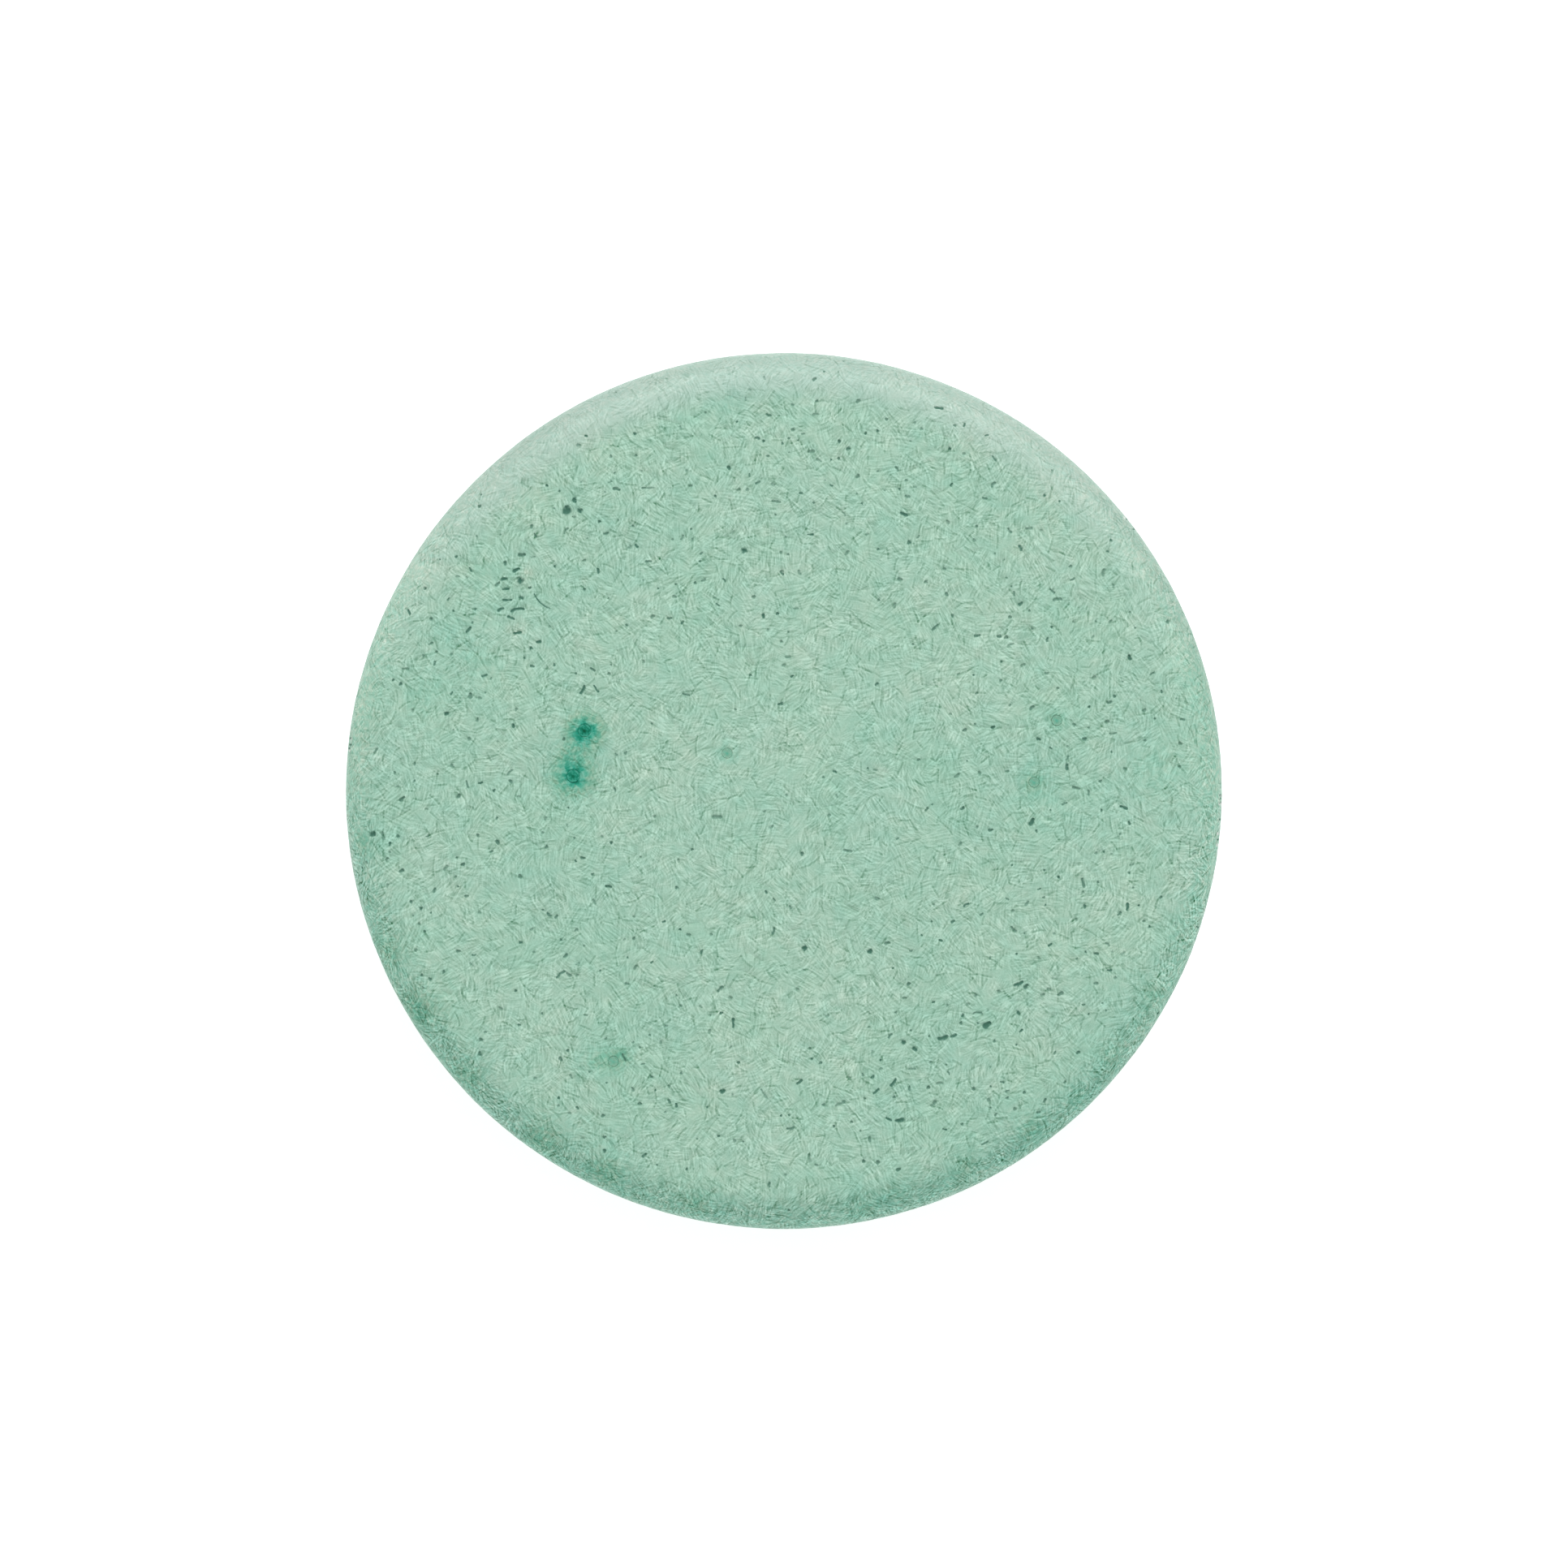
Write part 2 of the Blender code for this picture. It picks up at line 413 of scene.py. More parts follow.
def outline(s):
    """Radius, height and outward normal (radial, upward) of the cake at arc length s."""
    top_angle = (s - TOP_ARC_START) / EDGE_RADIUS
    bottom_angle = (s - SIDE_END) / EDGE_RADIUS
    stretch = [s < TOP_ARC_START, s < SIDE_START, s < SIDE_END, s < BOTTOM_ARC_END]
    radius = np.select(
        stretch,
        [
            s,
            FLAT_RADIUS + EDGE_RADIUS * np.sin(top_angle),
            PUCK_RADIUS + 0 * s,
            FLAT_RADIUS + EDGE_RADIUS * np.cos(bottom_angle),
        ],
        OUTLINE_LENGTH - s,
    )
    height = np.select(
        stretch,
        [
            PUCK_HEIGHT + 0 * s,
            PUCK_HEIGHT - EDGE_RADIUS + EDGE_RADIUS * np.cos(top_angle),
            PUCK_HEIGHT - EDGE_RADIUS - (s - SIDE_START),
            EDGE_RADIUS - EDGE_RADIUS * np.sin(bottom_angle),
        ],
        0.0,
    )
    outward = np.select(stretch, [0 * s, np.sin(top_angle), 1 + 0 * s, np.cos(bottom_angle)], 0.0)
    upward = np.select(stretch, [1 + 0 * s, np.cos(top_angle), 0 * s, -np.sin(bottom_angle)], -1.0)
    return radius, height, outward, upward


# Charts: flat maps of the top cap, the side and the bottom cap, in which marks are drawn
CHARTS = ("top", "side", "bottom")
CHART_SPACING = 500 * MM  # keeps the charts' fibre patterns apart


def to_chart(chart, s, angle):
    """Flat coordinates of surface points in one chart. A chart also reaches a little past its borders."""
    if chart == "side":
        return np.stack([angle * PUCK_RADIUS, s], axis=-1)
    reach = s if chart == "top" else OUTLINE_LENGTH - s
    return np.stack([reach * np.cos(angle), reach * np.sin(angle)], axis=-1)


def from_chart(chart, flat):
    """Arc length and angle of points that are given in one chart."""
    if chart == "side":
        return flat[..., 1], flat[..., 0] / PUCK_RADIUS
    reach = np.hypot(flat[..., 0], flat[..., 1])
    angle = np.arctan2(flat[..., 1], flat[..., 0])
    return (reach if chart == "top" else OUTLINE_LENGTH - reach), angle


class Mark:
    """A pit, groove, chip or bowl cut into the surface: a bent capsule drawn in one chart."""

    def __init__(
        self, kind, chart, x, y, turn, length, width, depth, strength=1.0, bend=0.0, lumps=0.0, taper=0.0
    ):
        self.kind = kind
        self.chart = chart
        self.x = x
        self.y = y
        self.turn = turn
        self.half_width = width / 2
        self.straight = max(length - width, 0.0) / 2  # half length of the capsule's middle line
        self.depth = depth
        self.strength = strength
        self.bend = bend
        self.lumps = lumps  # how uneven its rim is, and where
        self.taper = taper  # how much wider it is at one end, and narrower at the other

    def reach(self):
        """How far from its middle the mark has any effect."""
        return self.straight + MARK_REACH * self.half_width + REACH_MARGIN

    def width_share(self, along):
        """The local width, as a share of the mark's own, at places along its middle line."""
        return 1 + self.taper * np.clip(along / (self.straight + self.half_width), -1, 1)

    def share(self, flat):
        """Distance of points in its chart from the middle line: 0 there, 1 at the rim."""
        dx = flat[..., 0] - self.x
        dy = flat[..., 1] - self.y
        along = dx * math.cos(self.turn) + dy * math.sin(self.turn)
        across = dy * math.cos(self.turn) - dx * math.sin(self.turn) - self.bend * along**2
        past_end = np.maximum(np.abs(along) - self.straight, 0.0)
        bumps = np.sin(RIM_BUMPS * np.arctan2(across, along) + self.lumps) * (self.lumps != 0)
        uneven = 1 + RIM_UNEVENNESS * bumps
        return np.hypot(past_end, across) / (self.half_width * self.width_share(along)) * uneven

    def points(self):
        """Points of the mesh that follow the mark: its rim, rings inside, and its middle line."""
        step, ring_shares, arc_steps = MARK_DETAIL[self.kind]
        count = max(1, math.ceil(2 * self.straight / step)) + 1
        line = np.linspace(-self.straight, self.straight, count)
        if self.straight <= SHORTEST_LINE:
            line = np.zeros(1)
        pieces = [np.stack([line, 0 * line], axis=-1)]
        for ring_share in ring_shares:
            offset = ring_share * self.half_width
            for side in (-1, 1):
                pieces.append(np.stack([line, side * offset * self.width_share(line)], axis=-1))
                arc = np.linspace(-math.pi / 2, math.pi / 2, arc_steps + 1)[1:-1]
                end_offset = offset * self.width_share(side * self.straight)
                along_end = self.straight + end_offset * np.cos(arc)
                pieces.append(side * np.stack([along_end, end_offset * np.sin(arc)], axis=-1))
        drawn = np.concatenate(pieces)
        along, across = drawn[:, 0], drawn[:, 1] + self.bend * drawn[:, 0] ** 2
        x = self.x + along * math.cos(self.turn) - across * math.sin(self.turn)
        y = self.y + along * math.sin(self.turn) + across * math.cos(self.turn)
        return np.stack([x, y], axis=-1)


def uniform_place(rng, chart):
    """A random place in a chart, even over its area."""
    if chart == "side":
        return rng.uniform(-math.pi, math.pi) * PUCK_RADIUS, rng.uniform(SIDE_START, SIDE_END)
    reach = SIDE_START * math.sqrt(rng.uniform())
    angle = rng.uniform(-math.pi, math.pi)
    return reach * math.cos(angle), reach * math.sin(angle)


def smooth(low, high, value):
    """0 below low, 1 above high, and an even S between them."""
    t = min(1.0, max(0.0, (value - low) / (high - low)))
    return t * t * (3 - 2 * t)


def pit_share(chart, x, y):
    """How likely a pit is at a place: rarer in the middle of a face, and rarest on its rounded edge."""
    if chart == "side":
        return SIDE_PITS
    reach = math.hypot(x, y) / PUCK_RADIUS
    common = MIDDLE_PITS + (1 - MIDDLE_PITS) * smooth(*COMMON_PITS, reach)
    return common * (1 - LOST_EDGE_PITS * smooth(*RARE_PITS, reach))


def random_length(rng, middle, spread, least, most):
    """A random length in metres from values in millimetres, of which the spread is a logarithm's."""
    return float(np.clip(rng.lognormal(math.log(middle), spread), least, most)) * MM


def random_pit(rng, chart, x, y):
    """One pit: a dot, a dash or a comma."""
    length = random_length(rng, *PIT_LENGTH)
    middle, spread, least, most = PIT_WIDTH
    width = min(float(np.clip(rng.normal(middle, spread), least, most)) * MM, length)
    turn = rng.uniform(*PIT_LEAN) + (math.pi / 2) * (rng.uniform() < TURNED_PITS)
    bend = rng.choice(PIT_BENDS) * rng.uniform(-MOST_BEND, MOST_BEND) / MM
    depth = rng.uniform(*PIT_DEPTH) * width
    strength = rng.uniform(*PIT_STRENGTH)
    lumps = rng.uniform(*LUMPS)
    taper = rng.uniform(-PIT_TAPER, PIT_TAPER)
    return Mark("pit", chart, x, y, turn, length, width, depth, strength, bend, lumps, taper)


def is_clear(place, marks):
    """Whether a place keeps its distance from every mark."""
    for mark in marks:
        gap = GRAIN_CLEARANCE if mark.kind == "bowl" else PIT_GAP
        if math.hypot(place[0] - mark.x, place[1] - mark.y) <= gap:
            return False
    return True


def scattered_pits(rng, chart, count, others):
    """Pits all over one chart, clear of the others there."""
    pits = []
    near = [mark for mark in others if mark.chart == chart]
    while len(pits) < count:
        place = uniform_place(rng, chart)
        if rng.uniform() < pit_share(chart, *place) and is_clear(place, near + pits):
            pits.append(random_pit(rng, chart, *place))
    return pits


def chosen_pits(rng):
    """The single pits of the top face, and its groups."""
    pits = []
    for x, y, length, width, turn in SINGLE_PITS:
        bend = rng.uniform(-SINGLE_PIT_BEND, SINGLE_PIT_BEND) / MM
        lumps = rng.uniform(*LUMPS)
        taper = rng.uniform(-PIT_TAPER, PIT_TAPER)
        size = length * MM, width * MM, SINGLE_PIT_DEPTH * width * MM
        pits.append(Mark("pit", "top", x * MM, y * MM, math.radians(turn), *size, 1.0, bend, lumps, taper))
    for x, y, spread_x, spread_y, count in PIT_GROUPS:
        for _ in range(count):
            place = (x + rng.normal(0, spread_x)) * MM, (y + rng.normal(0, spread_y)) * MM
            if is_clear(place, pits):
                pits.append(random_pit(rng, "top", *place))
    return pits


def needles(rng, chart, count):
    """Long thin crystal grooves in every direction."""
    grooves = []
    for _ in range(count):
        x, y = uniform_place(rng, chart)
        length = random_length(rng, *NEEDLE_LENGTH)
        width = rng.uniform(*NEEDLE_WIDTH) * MM
        turn = rng.uniform(0, math.pi)
        strength = rng.uniform(*NEEDLE_STRENGTH)
        bend = rng.normal(0, NEEDLE_BEND) / MM
        size = length, width, NEEDLE_DEPTH * width
        grooves.append(Mark("needle", chart, x, y, turn, *size, strength, bend))
    return grooves


def edge_chips(rng):
    """Small dry chips out of the rounded edge, with short notches between them."""
    notch = [size * MM for size in NOTCH_SIZE]
    chips = []
    for direction, spread, count in CHIPPED_STRETCHES:
        for index in range(count):
            angle = math.radians(direction + rng.uniform(-spread, spread))
            s = SIDE_START - rng.uniform(*CHIP_INSET) * MM
            place = s * math.cos(angle), s * math.sin(angle)
            if index % 2:
                width = rng.uniform(*CHIP_WIDTH) * MM
                size = CHIP_LENGTH * width, width, CHIP_DEPTH * width
                chips.append(Mark("chip", "top", *place, angle, *size, lumps=rng.uniform(*LUMPS)))
            else:
                chips.append(Mark("pit", "top", *place, angle, *notch, NOTCH_STRENGTH))
    return chips


def grain_bowls():
    """A bowl for each dye grain."""
    bowls = []
    for name in GRAINS:
        low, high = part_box(name)
        place = (low.x + high.x) / 2, (low.y + high.y) / 2
        width = high.x - low.x + 2 * GRAIN_GAP
        bowls.append(Mark("bowl", "top", *place, 0.0, width, width, BOWL_DEPTH * width))
    return bowls


def hex_grid(low, high, step, rng):
    """Slightly shaken points of a triangular grid that fills a rectangle."""
    row_step = step * math.sqrt(3) / 2
    columns = np.arange(low[0], high[0] + step, step)
    rows = np.arange(low[1], high[1] + row_step, row_step)
    grid_x, grid_y = np.meshgrid(columns, rows)
    grid_x[1::2] += step / 2
    points = np.stack([grid_x.ravel(), grid_y.ravel()], axis=-1)
    return points + rng.uniform(-GRID_SHAKE, GRID_SHAKE, points.shape) * step


def cells_of(points, size):
    """One whole number for the square cell that holds each point."""
    keys = np.floor(points / size).astype(np.int64)
    return keys[:, 0] * CELL_ROW + keys[:, 1]


def chart_points(chart, marks, rng):
    """The mesh's points inside one chart: those of its marks, and a plain grid between them."""
    if chart == "side":
        low = (-math.pi * PUCK_RADIUS, SIDE_START)
        high = (math.pi * PUCK_RADIUS, SIDE_END)
    else:
        low, high = (-SIDE_START, -SIDE_START), (SIDE_START, SIDE_START)
    detail = np.concatenate([mark.points() for mark in marks if mark.chart == chart])
    _, keep = np.unique(cells_of(detail, TWIN_CELL), return_index=True)
    detail = detail[np.sort(keep)]
    grid = hex_grid(low, high, GRID_STEP, rng)
    crowded = np.unique(cells_of(detail, CROWDED_CELL))
    grid = grid[~np.isin(cells_of(grid, CROWDED_CELL), crowded)]
    points = np.concatenate([detail, grid])
    if chart == "side":
        off_middle = np.abs(points[:, 1] - (SIDE_START + SIDE_END) / 2)
        inside = off_middle < (SIDE_END - SIDE_START) / 2 - BORDER_GAP
        inside &= np.abs(points[:, 0]) < math.pi * PUCK_RADIUS - BORDER_GAP
    else:
        inside = np.hypot(points[:, 0], points[:, 1]) < SIDE_START - BORDER_GAP
    return points[inside]


def triangles(flat, border_count):
    """Delaunay triangles of points in a chart, of which the first ones go round its border in order."""
    border = [(index, (index + 1) % border_count) for index in range(border_count)]
    only_inside, same_place = 1, 1e-7
    points = [Vector(point) for point in flat / MM]
    found = delaunay_2d_cdt(points, border, [], only_inside, same_place, True)
    faces, sources = found[2], found[3]
    return np.array([[sources[corner][0] for corner in face] for face in faces])


def side_border(seam_s, ring_angles):
    """Arc length and angle round the border of the side's chart, starting at its upper left corner."""
    left = np.full(len(seam_s), -math.pi)
    s = [[SIDE_START], seam_s, [SIDE_END] * (RING_POINTS + 1), seam_s[::-1], [SIDE_START] * RING_POINTS]
    angle = [[-math.pi], left, ring_angles, [math.pi], -left, [math.pi], ring_angles[:0:-1]]
    return np.concatenate(s), np.concatenate(angle)


def puck_surface(marks, rng):
    """Arc length and angle of every point of the mesh, and each chart's triangles."""
    ring_angles = -math.pi + math.tau * np.arange(RING_POINTS) / RING_POINTS
    seam_s = np.linspace(SIDE_START, SIDE_END, round((SIDE_END - SIDE_START) / GRID_STEP) + 1)[1:-1]
    upper_ring = np.arange(RING_POINTS)
    lower_ring = upper_ring + RING_POINTS
    seam = np.arange(len(seam_s)) + 2 * RING_POINTS
    s_parts = [np.full(RING_POINTS, SIDE_START), np.full(RING_POINTS, SIDE_END), seam_s]
    angle_parts = [ring_angles, ring_angles, np.full(len(seam_s), -math.pi)]
    left_to_right = [upper_ring[:1], seam, lower_ring, lower_ring[:1]]
    round_side = np.concatenate([*left_to_right, seam[::-1], upper_ring[:1], upper_ring[:0:-1]])
    borders = {
        "top": (upper_ring, np.full(RING_POINTS, SIDE_START), ring_angles),
        "side": (round_side, *side_border(seam_s, ring_angles)),
        "bottom": (lower_ring, np.full(RING_POINTS, SIDE_END), ring_angles),
    }
    total = 2 * RING_POINTS + len(seam_s)
    faces = {}
    for chart in CHARTS:
        inner = chart_points(chart, marks, rng)
        s, angle = from_chart(chart, inner)
        s_parts.append(s)
        angle_parts.append(angle)
        border_ids, border_s, border_angle = borders[chart]
        ids = np.concatenate([border_ids, total + np.arange(len(inner))])
        flat = np.concatenate([to_chart(chart, border_s, border_angle), inner])
        drawn = ids[triangles(flat, len(border_ids))]
        faces[chart] = drawn if chart == "top" else drawn[:, ::-1]
        total += len(inner)
    return np.concatenate(s_parts), np.concatenate(angle_parts), faces


def cut_marks(marks, s, angle):
    """How deep each point lies under the plain surface, and how strongly each kind of mark colours it:
    painted shade in the hollows of pits and notches, a darker line partly of painted shade in needle grooves,
    and the chips' own paleness.
    """
    depth = np.zeros(len(s))
    tints = {kind: np.zeros(len(s)) for kind in ("pit", "needle", "chip")}
    for chart in CHARTS:
        flat = to_chart(chart, s, angle)
        tree = kdtree.KDTree(len(flat))
        for index, point in enumerate(flat):
            tree.insert((point[0], point[1], 0.0), index)
        tree.balance()
        for mark in marks:
            if mark.chart != chart:
                continue
            near = np.array([hit[1] for hit in tree.find_range((mark.x, mark.y, 0.0), mark.reach())], int)
            if not len(near):
                continue
            share = mark.share(flat[near])
            hollow = np.clip(1 - share**2, 0, 1) ** WALL_POWER[mark.kind]
            depth[near] = np.maximum(depth[near], mark.depth * hollow)
            if mark.kind in tints:
                tint = mark.strength * np.clip((1 - share) * TINT_SLOPE, 0, 1)
                tints[mark.kind][near] = np.maximum(tints[mark.kind][near], tint)
    return depth, tints


def dye_concentration(points):
    """How much dye each point holds above the whole cake's own: exponential haloes round the stains, and
    round the painted light and shade set on the +Y edge.
    """
    top, rounding, flat_radius = PUCK_HEIGHT / MM, EDGE_RADIUS / MM, FLAT_RADIUS / MM
    spots = [(x, y, top, reach, strength) for x, y, reach, strength in STAINS]
    for direction, distance, reach, strength in EDGE_STAINS_AND_PAINTED_LIGHT:
        angle = math.radians(direction)
        past_flat = max(distance - flat_radius, 0.0)
        z = top - rounding + math.sqrt(rounding**2 - past_flat**2)
        spots.append((distance * math.cos(angle), distance * math.sin(angle), z, reach, strength))
    total = np.zeros(len(points))
    for x, y, z, reach, strength in spots:
        total += strength * np.exp(-np.linalg.norm(points / MM - (x, y, z), axis=1) / reach)
    return total


def swell(points):
    """A low swell of the whole surface, between 0 and about 1."""
    height = np.empty(len(points))
    for index, point in enumerate(points):
        waves = [strength * noise.noise(Vector(point) / (size * MM)) for size, strength in SWELL_WAVES]
        height[index] = SWELL_MIDDLE + sum(waves)
    return np.clip(height, 0, 1)


def corner_charts(faces, s, angle):
    """Chart coordinates of every triangle corner, in millimetres, for the fibre pattern."""
    parts = []
    for number, chart in enumerate(CHARTS):
        corner_s = s[faces[chart]]
        corner_angle = angle[faces[chart]]
        if chart == "side":
            right_of_seam = corner_angle.max(axis=1, keepdims=True) > math.pi / 2
            corner_angle = np.where(right_of_seam & (corner_angle < -math.pi / 2), math.pi, corner_angle)
        flat = to_chart(chart, corner_s, corner_angle).reshape(-1, 2)
        flat[:, 0] += number * CHART_SPACING
        parts.append(np.concatenate([flat, np.zeros((len(flat), 1))], axis=1) / MM)
    return np.concatenate(parts)


def build_puck():
    """The cake's mesh, with every pit, groove, chip and bowl cut in."""
    rng = np.random.default_rng(SEED)
    marks = grain_bowls() + chosen_pits(rng) + edge_chips(rng)
    for chart in CHARTS:
        marks += scattered_pits(rng, chart, PIT_COUNTS[chart], marks)
    for chart in CHARTS:
        marks += needles(rng, chart, NEEDLE_COUNTS[chart])
    s, angle, faces = puck_surface(marks, rng)
    radius, height, outward, upward = outline(s)
    normal = np.stack([outward * np.cos(angle), outward * np.sin(angle), upward], axis=-1)
    points = np.stack([radius * np.cos(angle), radius * np.sin(angle), height], axis=-1)
    depth, tints = cut_marks(marks, s, angle)
    tints["dye"] = dye_concentration(points)
    points = points - normal * (depth + SWELL * swell(points))[:, None]
    mesh = bpy.data.meshes.new("soap_cake")
    mesh.from_pydata(points.tolist(), [], np.concatenate([faces[chart] for chart in CHARTS]).tolist())
    mesh.shade_smooth()
    for kind, tint in tints.items():
        attribute = mesh.attributes.new(kind, "FLOAT", "POINT")
        attribute.data.foreach_set("value", tint.astype(np.float32))
    attribute = mesh.attributes.new("chart", "FLOAT_VECTOR", "CORNER")
    attribute.data.foreach_set("vector", corner_charts(faces, s, angle).astype(np.float32).ravel())
    return mesh


def grain_mesh(name, seed):
    """A lump of crushed dye crystals, flush with the top face where the CAD's half ball lies."""
    low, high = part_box(name)
    radius = (high.x - low.x) / 2
    lump = bmesh.new()
    bmesh.ops.create_icosphere(lump, subdivisions=LUMP_DETAIL, radius=1.0)
    for point in lump.verts:
        direction = point.co.copy()
        facet = noise.voronoi(direction * FACET_SCALE + Vector((seed, 0, 0)))[0][0]
        rough = noise.noise(direction * ROUGH_SCALE + Vector((0, seed, 0)))
        flat = Vector((direction.x, direction.y, 0.0))
        if direction.z >= 0:
            # The upper half is pressed flat, out to the full radius
            spread = flat.length ** 0.5
            place = flat.normalized() * spread if flat.length else flat
            point.co = place * radius
            point.co.z = -GRAIN_GAP - TOP_HOLLOW * radius * (1 + rough) * (1 - spread**8)
        else:
            size = 1 - FACET_DEPTH * min(facet, DEEPEST_FACET) * -direction.z
            point.co = direction * size * radius
            point.co.z = point.co.z * LUMP_HEIGHT - GRAIN_GAP
    mesh = bpy.data.meshes.new(name + "_lump")
    lump.to_mesh(mesh)
    lump.free()
    mesh.shade_smooth()
    place = Vector(((low.x + high.x) / 2, (low.y + high.y) / 2, PUCK_HEIGHT))
    points = np.array([place + vertex.co for vertex in mesh.vertices])
    points[:, 2] = PUCK_HEIGHT
    attribute = mesh.attributes.new("dye", "FLOAT", "POINT")
    attribute.data.foreach_set("value", dye_concentration(points).astype(np.float32))
    return mesh, place


class Graph:
    """Short calls that add nodes to a material and join them."""

    def __init__(self, name):
        self.material = bpy.data.materials.new(name)
        self.material.use_nodes = True
        self.tree = self.material.node_tree
        self.shader = self.tree.nodes["Principled BSDF"]

    def put(self, kind, values, **settings):
        """A node. Each of its inputs is set to a number or a tuple, or joined to another node's output."""
        node = self.tree.nodes.new(kind)
        for name, setting in settings.items():
            setattr(node, name, setting)
        for key, value in values.items():
            self.join(value, node.inputs[key])
        return node

    def join(self, value, socket):
        if isinstance(value, bpy.types.NodeSocket):
            self.tree.links.new(value, socket)
        else:
            socket.default_value = value

    def maths(self, operation, *values):
        return self.put("ShaderNodeMath", dict(enumerate(values)), operation=operation).outputs[0]

    def add(self, *values):
        total = values[0]
        for value in values[1:]:
            total = self.maths("ADD", total, value)
        return total

    def times(self, a, b):
        return self.maths("MULTIPLY", a, b)

    def vector(self, operation, *values):
        node = self.put("ShaderNodeVectorMath", dict(enumerate(values)), operation=operation)
        return node.outputs["Vector"]

    def scaled(self, vector, factor):
        values = {"Vector": vector, "Scale": factor}
        return self.put("ShaderNodeVectorMath", values, operation="SCALE").outputs["Vector"]

    def split(self, vector):
        return self.put("ShaderNodeSeparateXYZ", {"Vector": vector}).outputs

    def ramp(self, value, low, high, start=0.0, end=1.0):
        """start where value is low, end where it is high, and an even S between them."""
        values = {"Value": value, "From Min": low, "From Max": high, "To Min": start, "To Max": end}
        return self.put("ShaderNodeMapRange", values, interpolation_type="SMOOTHSTEP").outputs["Result"]

    def noise(self, vector, size, detail, dimensions="3D"):
        """Noise between 0 and 1 whose features have the given size in the vector's unit."""
        values = {"Vector": vector, "Scale": 1 / size, "Detail": detail}
        return self.put("ShaderNodeTexNoise", values, noise_dimensions=dimensions).outputs

    def cells(self, vector, size):
        """Random flat cells of a given size: distance from each one's point, random colour, position."""
        values = {"Vector": vector, "Scale": 1 / size}
        return self.put("ShaderNodeTexVoronoi", values, voronoi_dimensions="2D").outputs

    def turned(self, vector, angle):
        values = {"Vector": vector, "Angle": angle}
        return self.put("ShaderNodeVectorRotate", values, rotation_type="Z_AXIS").outputs[0]

    def blend(self, factor, a, b):
        """Colour a where the factor is 0 and b where it is 1."""
        values = {0: factor, 6: self.opaque(a), 7: self.opaque(b)}
        return self.put("ShaderNodeMix", values, data_type="RGBA").outputs[2]

    def tinted(self, colour, tint, amount):
        """The colour with each channel scaled by one plus its share of the tint."""
        return self.vector("MULTIPLY", colour, self.vector("ADD", self.scaled(tint, amount), (1.0, 1.0, 1.0)))

    def attribute(self, name):
        return self.put("ShaderNodeAttribute", {}, attribute_name=name).outputs

    def in_millimetres(self):
        """The place on the object, in millimetres."""
        return self.scaled(self.put("ShaderNodeTexCoord", {}).outputs["Object"], 1 / MM)

    def finish(self, colour, roughness, relief, relief_strength):
        """Gives the shader its colour, roughness and fine relief. Soap has little shine."""
        self.join(colour, self.shader.inputs["Base Color"])
        self.join(roughness, self.shader.inputs["Roughness"])
        self.shader.inputs["Specular IOR Level"].default_value = LITTLE_SHINE
        values = {"Height": relief, "Strength": relief_strength, "Distance": RELIEF_DEPTH}
        self.join(self.put("ShaderNodeBump", values).outputs["Normal"], self.shader.inputs["Normal"])

    @staticmethod
    def opaque(colour):
        return (*colour, 1.0) if isinstance(colour, tuple) else colour


def transmission(graph, dye):
    """What the dye lets through, for its concentration: a colour ramp of the law of absorption."""
    values = {"Value": dye, "From Min": 0.0, "From Max": MOST_DYE}
    place = graph.put("ShaderNodeMapRange", values).outputs["Result"]
    ramp = graph.put("ShaderNodeValToRGB", {"Fac": graph.maths("SQRT", place)})
    stops = ramp.color_ramp.elements
    for step in range(DYE_STOPS + 1):
        position = step / DYE_STOPS
        stop = stops[0] if step == 0 else stops[-1] if step == DYE_STOPS else stops.new(position)
        stop.position = position
        concentration = MOST_DYE * position**2
        stop.color = (*(math.exp(-channel * concentration) for channel in ABSORBANCE), 1.0)
    return ramp.outputs["Color"]


def fibres(graph, chart, cell, length, width, seed):
    """A felt of fine fibres, about -0.5 to 0.5: patches of them, each with a direction of its own."""
    shifted = graph.vector("ADD", chart, (37.0 * seed, 91.0 * seed, 0.0))
    patch = graph.cells(shifted, cell)
    random = graph.split(patch["Color"])
    along_fibres = graph.turned(shifted, graph.times(random[0], math.pi))
    apart = graph.scaled(patch["Color"], PATCH_SHIFT)
    stretched = graph.vector("MULTIPLY", along_fibres, (1 / length, 1 / width, 1.0))
    pattern = graph.noise(graph.vector("ADD", stretched, apart), 1.0, 0.0, "2D")["Fac"]
    fade = graph.ramp(patch["Distance"], *PATCH_FADE, 1.0, 0.0)
    return graph.times(graph.ramp(pattern, 0.34, 0.66, -0.5, 0.5), fade)


